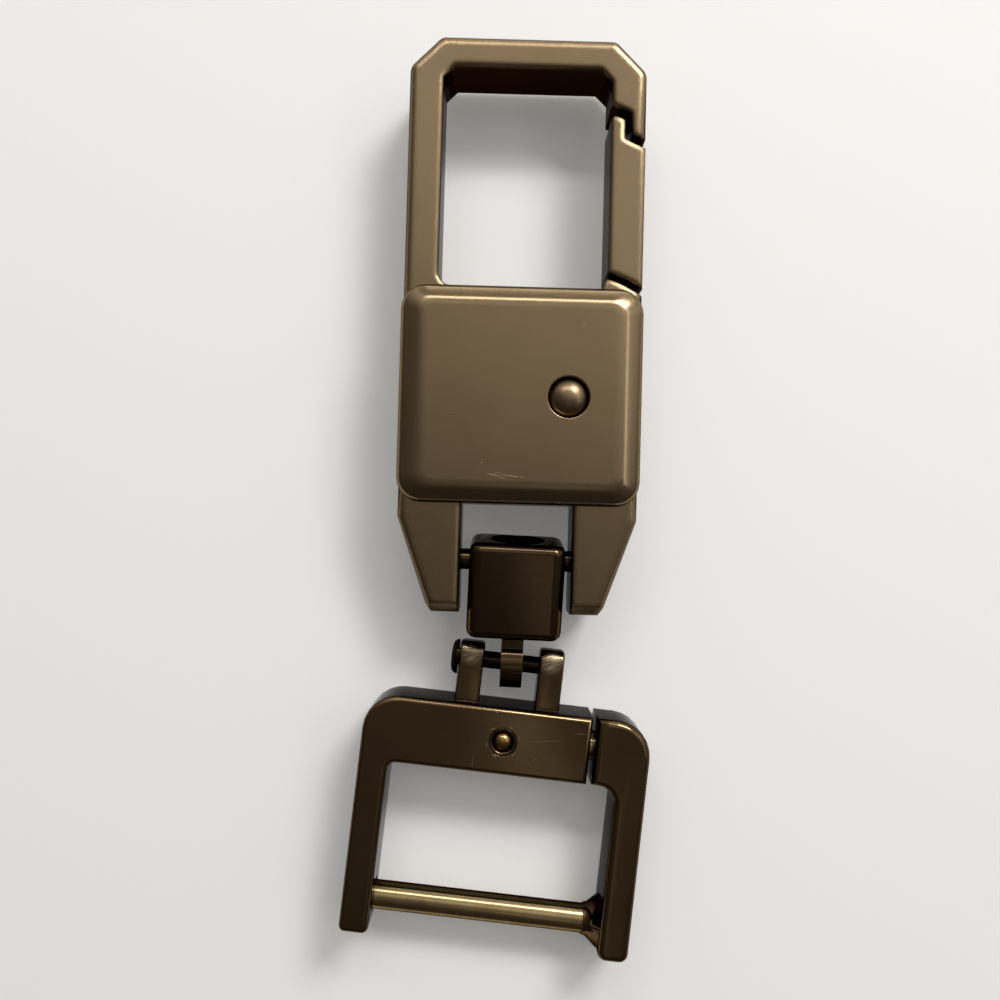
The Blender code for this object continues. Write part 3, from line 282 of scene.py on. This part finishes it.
def blackNickel(name, look, scratches=(), rubsAndHighlights=()):
    finish = bpy.data.materials.new(name)
    finish.use_nodes = True
    tree = finish.node_tree
    shader = tree.nodes["Principled BSDF"]
    shader.inputs["Metallic"].default_value = 1.0
    # seen at a slant the plate stays dark
    shader.inputs["Specular Tint"].default_value = linearColour(look["grazeColour"])
    spot = addNode(tree, "ShaderNodeTexCoord", {}, {})
    place = spot.outputs["Object"]
    geometry = addNode(tree, "ShaderNodeNewGeometry", {}, {})

    # slow change of the plate's colour, over a few millimetres
    patches = addNode(tree, "ShaderNodeTexNoise", {}, {
        "Vector": place, "Scale": 1 / (look["patch"] * mm), "Detail": 3.0, "Roughness": 0.55})
    plate = addNode(tree, "ShaderNodeMix", {"data_type": "RGBA"}, {
        0: patches.outputs["Fac"], 6: linearColour(look["colour"]), 7: linearColour(look["shadeColour"])})

    # painted shade: the upright walls are darkened to near-black, the level faces keep the plate's
    # polished colour
    body = addNode(tree, "ShaderNodeMix", {"data_type": "RGBA"}, {
        0: wallShadeShare(tree, spot), 6: plate.outputs[2], 7: linearColour(look["wallShadeColour"])})

    # satin grain left by the polishing, drawn several times as coarse as it is so that it shows
    grain = addNode(tree, "ShaderNodeTexNoise", {}, {
        "Vector": place, "Scale": 1 / (look["grain"] * mm), "Detail": 2.0, "Roughness": 0.6})

    # hairline scratches in three directions, in clusters
    hairlines = []
    for turn, seed in wear["hairlineTurns"]:
        lines = addNode(tree, "ShaderNodeMapping", {}, {
            "Vector": place, "Location": (seed, seed, seed), "Rotation": (0, 0, turn),
            "Scale": tuple(1 / (size * mm) for size in wear["hairline"])})
        fine = addNode(tree, "ShaderNodeTexNoise", {}, {
            "Vector": lines.outputs["Vector"], "Scale": 1.0, "Detail": 1.0, "Roughness": 0.4})
        hairlines.append(addNode(tree, "ShaderNodeMapRange", {}, {
            "Value": fine.outputs["Fac"], **fade("hairlineFade")}).outputs["Result"])
    total = hairlines[0]
    for line in hairlines[1:]:
        total = stronger(tree, total, line)
    clusters = addNode(tree, "ShaderNodeTexNoise", {}, {
        "Vector": place, "Scale": 1 / (wear["cluster"] * mm), "Detail": 1.0})
    where = addNode(tree, "ShaderNodeMapRange", {}, {
        "Value": clusters.outputs["Fac"], "To Max": look["scratchShow"], **fade("clusterFade")})
    marks = addNode(tree, "ShaderNodeMath", {"operation": "MULTIPLY"}, {
        0: total, 1: where.outputs["Result"]}).outputs["Value"]

    # single scratches at their places, in the keychain's own millimetres
    for middle, turn, length, width, strength in scratches:
        box = addNode(tree, "ShaderNodeMapping", {"vector_type": "TEXTURE"}, {
            "Vector": place, "Location": tuple(v * mm for v in middle), "Rotation": (0, 0, radians(turn)),
            "Scale": (length / 2 * mm, width * mm, wear["scratchDepth"] * mm)})
        size = addNode(tree, "ShaderNodeVectorMath", {"operation": "ABSOLUTE"}, {0: box.outputs["Vector"]})
        parts = addNode(tree, "ShaderNodeSeparateXYZ", {}, {0: size.outputs["Vector"]})
        deep = stronger(tree, stronger(tree, parts.outputs["X"], parts.outputs["Y"]), parts.outputs["Z"])
        ridge = addNode(tree, "ShaderNodeMapRange", {}, {
            "Value": deep, "To Max": strength, **fade("scratchFade")})
        marks = stronger(tree, marks, ridge.outputs["Result"])

    # ends rubbed by hand: many short strokes side by side, whose pale colour is also a painted highlight
    for middle, turn, size, strength in rubsAndHighlights:
        ball = addNode(tree, "ShaderNodeMapping", {"vector_type": "TEXTURE"}, {
            "Vector": place, "Location": tuple(v * mm for v in middle), "Rotation": (0, 0, radians(turn)),
            "Scale": tuple(v * mm for v in size)})
        reach = addNode(tree, "ShaderNodeVectorMath", {"operation": "LENGTH"}, {0: ball.outputs["Vector"]})
        within = addNode(tree, "ShaderNodeMapRange", {}, {
            "Value": reach.outputs["Value"], "To Max": strength, **fade("rubFade")})
        strokes = addNode(tree, "ShaderNodeMapping", {}, {
            "Vector": ball.outputs["Vector"], "Scale": wear["strokes"]})
        brush = addNode(tree, "ShaderNodeTexNoise", {}, {
            "Vector": strokes.outputs["Vector"], "Scale": 1.0, "Detail": 2.0})
        bristles = addNode(tree, "ShaderNodeMapRange", {}, {
            "Value": brush.outputs["Fac"], "To Min": wear["strokeFloor"], **fade("strokeFade")})
        rub = addNode(tree, "ShaderNodeMath", {"operation": "MULTIPLY"}, {
            0: within.outputs["Result"], 1: bristles.outputs["Result"]})
        marks = stronger(tree, marks, rub.outputs["Value"])

    # edges rounded by the polishing wheel, where the plate is thin and rubbed paler
    rounded = addNode(tree, "ShaderNodeBevel", {"samples": 6}, {
        "Radius": look["edge"] * mm}).outputs["Normal"]
    facing = addNode(tree, "ShaderNodeVectorMath", {"operation": "DOT_PRODUCT"}, {
        0: rounded, 1: geometry.outputs["Normal"]})
    edges = addNode(tree, "ShaderNodeMapRange", {}, {
        "Value": facing.outputs["Value"], "To Max": look["edgeShow"], **fade("edgeFade")})
    # painted shade: ambient occlusion finds the recesses, and their colour is darkened towards near-black
    around = addNode(tree, "ShaderNodeAmbientOcclusion", {"samples": 6, "only_local": False}, {
        "Distance": look["recess"] * mm})
    recess = addNode(tree, "ShaderNodeMapRange", {}, {
        "Value": around.outputs["AO"], "To Max": wear["recessShow"], **fade("recessFade")})

    # pale: worn edges and scratches, and the rubbed ends, which are partly a painted highlight
    pale = addNode(tree, "ShaderNodeMix", {"data_type": "RGBA"}, {
        0: stronger(tree, edges.outputs["Result"], marks), 6: body.outputs[2],
        7: linearColour(look["wornAndHighlightColour"])})
    dark = addNode(tree, "ShaderNodeMix", {"data_type": "RGBA"}, {
        0: recess.outputs["Result"], 6: pale.outputs[2], 7: linearColour(look["recessShadeColour"])})
    tree.links.new(dark.outputs[2], shader.inputs["Base Color"])

    rough = addNode(tree, "ShaderNodeMapRange", {}, {
        "Value": grain.outputs["Fac"], **fade("grainFade"),
        "To Min": look["roughness"] - look["grainRoughness"],
        "To Max": look["roughness"] + look["grainRoughness"]})
    rougher = addNode(tree, "ShaderNodeMath", {"operation": "MULTIPLY_ADD"}, {
        0: marks, 1: wear["dulling"], 2: rough.outputs["Result"]})
    tree.links.new(rougher.outputs["Value"], shader.inputs["Roughness"])

    relief = addNode(tree, "ShaderNodeMath", {"operation": "MULTIPLY_ADD"}, {
        0: marks, 1: wear["cutDepth"], 2: grain.outputs["Fac"]})
    bump = addNode(tree, "ShaderNodeBump", {}, {
        "Strength": 1.0, "Distance": look["grainDepth"] * mm, "Height": relief.outputs["Value"],
        "Normal": rounded})
    tree.links.new(bump.outputs["Normal"], shader.inputs["Normal"])
    return finish


# plain nickel on turned steel, bright, with the tool's fine rings drawn coarser than they are
barLook = {
    "colour": "#BDA980", "shadeColour": "#8F7B58", "wallShadeColour": "#4C402E", "grazeColour": "#4A4034",
    "ring": 0.22, "turn": -5.1, "roughness": 0.20, "depth": 0.0012,
}
# ground or drawn steel inside the keychain, grey and bright
steelLook = {
    "colour": "#B7B3AA", "shadeColour": "#8F8A80", "wallShadeColour": "#9A958B", "grazeColour": "#E6E2DA",
    "ring": 0.15, "turn": 0.0, "roughness": 0.28, "depth": 0.0006,
}
# polished brass, tarnished towards brown in soft spots
brassLook = {
    "colour": "#AA8A56", "shadeColour": "#765A36", "wallShadeColour": "#6A4E2C", "grazeColour": "#C0A473",
    "ring": 0.50, "turn": 0.0, "roughness": 0.18, "depth": 0.0003,
}

# on all turned metal: the tarnish's size in millimetres, how far a ring is drawn out round the
# piece, and how much its roughness goes up and down
turned = {"spot": 2.2, "drawnOut": 9, "spread": 0.06}


def turnedMetal(name, look):
    finish = bpy.data.materials.new(name)
    finish.use_nodes = True
    tree = finish.node_tree
    shader = tree.nodes["Principled BSDF"]
    shader.inputs["Metallic"].default_value = 1.0
    shader.inputs["Specular Tint"].default_value = linearColour(look["grazeColour"])
    spot = addNode(tree, "ShaderNodeTexCoord", {}, {})
    place = spot.outputs["Object"]
    along = addNode(tree, "ShaderNodeMapping", {"vector_type": "TEXTURE"}, {
        "Vector": place, "Rotation": (0, 0, radians(look["turn"])),
        "Scale": (look["ring"] * mm, turned["drawnOut"] * look["ring"] * mm,
                  turned["drawnOut"] * look["ring"] * mm)})
    rings = addNode(tree, "ShaderNodeTexNoise", {}, {
        "Vector": along.outputs["Vector"], "Scale": 1.0, "Detail": 2.0})
    spots = addNode(tree, "ShaderNodeTexNoise", {}, {
        "Vector": place, "Scale": 1 / (turned["spot"] * mm), "Detail": 3.0})
    tint = addNode(tree, "ShaderNodeMix", {"data_type": "RGBA"}, {
        0: spots.outputs["Fac"], 6: linearColour(look["colour"]), 7: linearColour(look["shadeColour"])})
    # painted shade: upright sides are darkened towards the wall shade colour
    body = addNode(tree, "ShaderNodeMix", {"data_type": "RGBA"}, {
        0: wallShadeShare(tree, spot), 6: tint.outputs[2], 7: linearColour(look["wallShadeColour"])})
    tree.links.new(body.outputs[2], shader.inputs["Base Color"])
    rough = addNode(tree, "ShaderNodeMapRange", {}, {
        "Value": rings.outputs["Fac"], "To Min": look["roughness"] - turned["spread"],
        "To Max": look["roughness"] + turned["spread"]})
    tree.links.new(rough.outputs["Result"], shader.inputs["Roughness"])
    bump = addNode(tree, "ShaderNodeBump", {}, {
        "Strength": 1.0, "Distance": look["depth"] * mm, "Height": rings.outputs["Fac"]})
    tree.links.new(bump.outputs["Normal"], shader.inputs["Normal"])
    return finish


finishes = {
    "satin": blackNickel("satinBlackNickelPlate", satinLook),
    "hook": blackNickel("satinBlackNickelHook", hookLook),
    "cover": blackNickel("satinBlackNickelCover", coverLook, blockScratches),
    "gloss": blackNickel("polishedBlackNickelPlate", glossLook),
    "keyGloss": blackNickel(
        "polishedBlackNickelKeyFrame", keyLook, keyScratches + ringOfMarks(punchMarks), rubbedAndHighlightedEnds),
    "pin": blackNickel("nickelPinPaintedShade", shadedPinLook),
    "dome": blackNickel("polishedRivetHead", domeLook),
    "nickel": turnedMetal("turnedNickelPlatedSteel", barLook),
    "steel": turnedMetal("groundSteel", steelLook),
    "brass": turnedMetal("polishedBrass", brassLook),
}
print("finishes made:", len(finishes))


# the CAD nodes' meshes are loose triangles, so each is copied, merged and shaded smooth
pieceFinish = {
    "hook_frame": "hook", "front_cover": "cover", "back_cover": "satin", "gate": "hook",
    "cover_dowel_upper": "steel", "cover_dowel_lower": "steel", "pivot_sleeve": "steel",
    "gate_rivet": "dome", "gate_spring": "steel", "cross_pin": "gloss", "swivel_barrel": "gloss",
    "stem_washer": "steel", "swivel_stem": "gloss", "clevis_pin": "pin", "key_frame": "keyGloss",
    "ball_sleeve": "gloss", "release_ball": "brass", "ball_spring": "steel", "side_arm": "keyGloss",
    "guide_rod": "nickel", "key_bar": "nickel",
}

# angles in degrees, widths in millimetres
shading = {"faceAngle": 32, "stripAngle": 50, "stripWidth": 0.5, "mergeReach": 0.001, "flatAngle": 0.2}


def camelName(node):
    first, *rest = node.split("_")
    return first + "".join(part.capitalize() for part in rest)


def smoothCopy(node, finish):
    shape = bmesh.new()
    shape.from_mesh(frame["nodes"][node].data)
    bmesh.ops.remove_doubles(shape, verts=shape.verts, dist=shading["mergeReach"] * mm)
    bmesh.ops.dissolve_limit(
        shape, angle_limit=radians(shading["flatAngle"]), verts=shape.verts, edges=shape.edges)
    widths = {}
    for face in shape.faces:
        face.smooth = True
        widths[face] = face.calc_area() / max(edge.calc_length() for edge in face.edges)
    # a rounded rim's narrow strips are shaded as one curve, and wide faces keep their edge
    for edge in shape.edges:
        narrow = min(widths[face] for face in edge.link_faces) < shading["stripWidth"] * mm
        limit = shading["stripAngle"] if narrow else shading["faceAngle"]
        edge.smooth = edge.calc_face_angle() < radians(limit)
    mesh = bpy.data.meshes.new(camelName(node))
    shape.to_mesh(mesh)
    shape.free()
    mesh.attributes.remove(mesh.attributes["custom_normal"])  # left over from the loose triangles
    mesh.materials.append(finish)
    piece = bpy.data.objects.new(camelName(node), mesh)
    bpy.context.scene.collection.objects.link(piece)
    soften = piece.modifiers.new("faceNormals", "WEIGHTED_NORMAL")
    soften.keep_sharp = True
    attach(piece, bodyOf[node])
    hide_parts(node)
    return piece


pieces = {node: smoothCopy(node, finishes[finishName]) for node, finishName in pieceFinish.items()}
print("pieces dressed:", len(pieces))

# each coil's joint and axis, and the share of its length it would shorten to as the gate opens or the ball
# is pressed; here each coil only gets a mesh of its own
coils = {
    "gate_spring": {"joint": "gate_hinge", "axis": (1, 0, 0), "pressed": 0.68},
    "ball_spring": {"joint": "ball_press", "axis": (0, 0, 1), "pressed": 0.64},
}
for node, coil in coils.items():
    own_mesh(pieces[node])
print("coils tied to their joints:", len(coils))
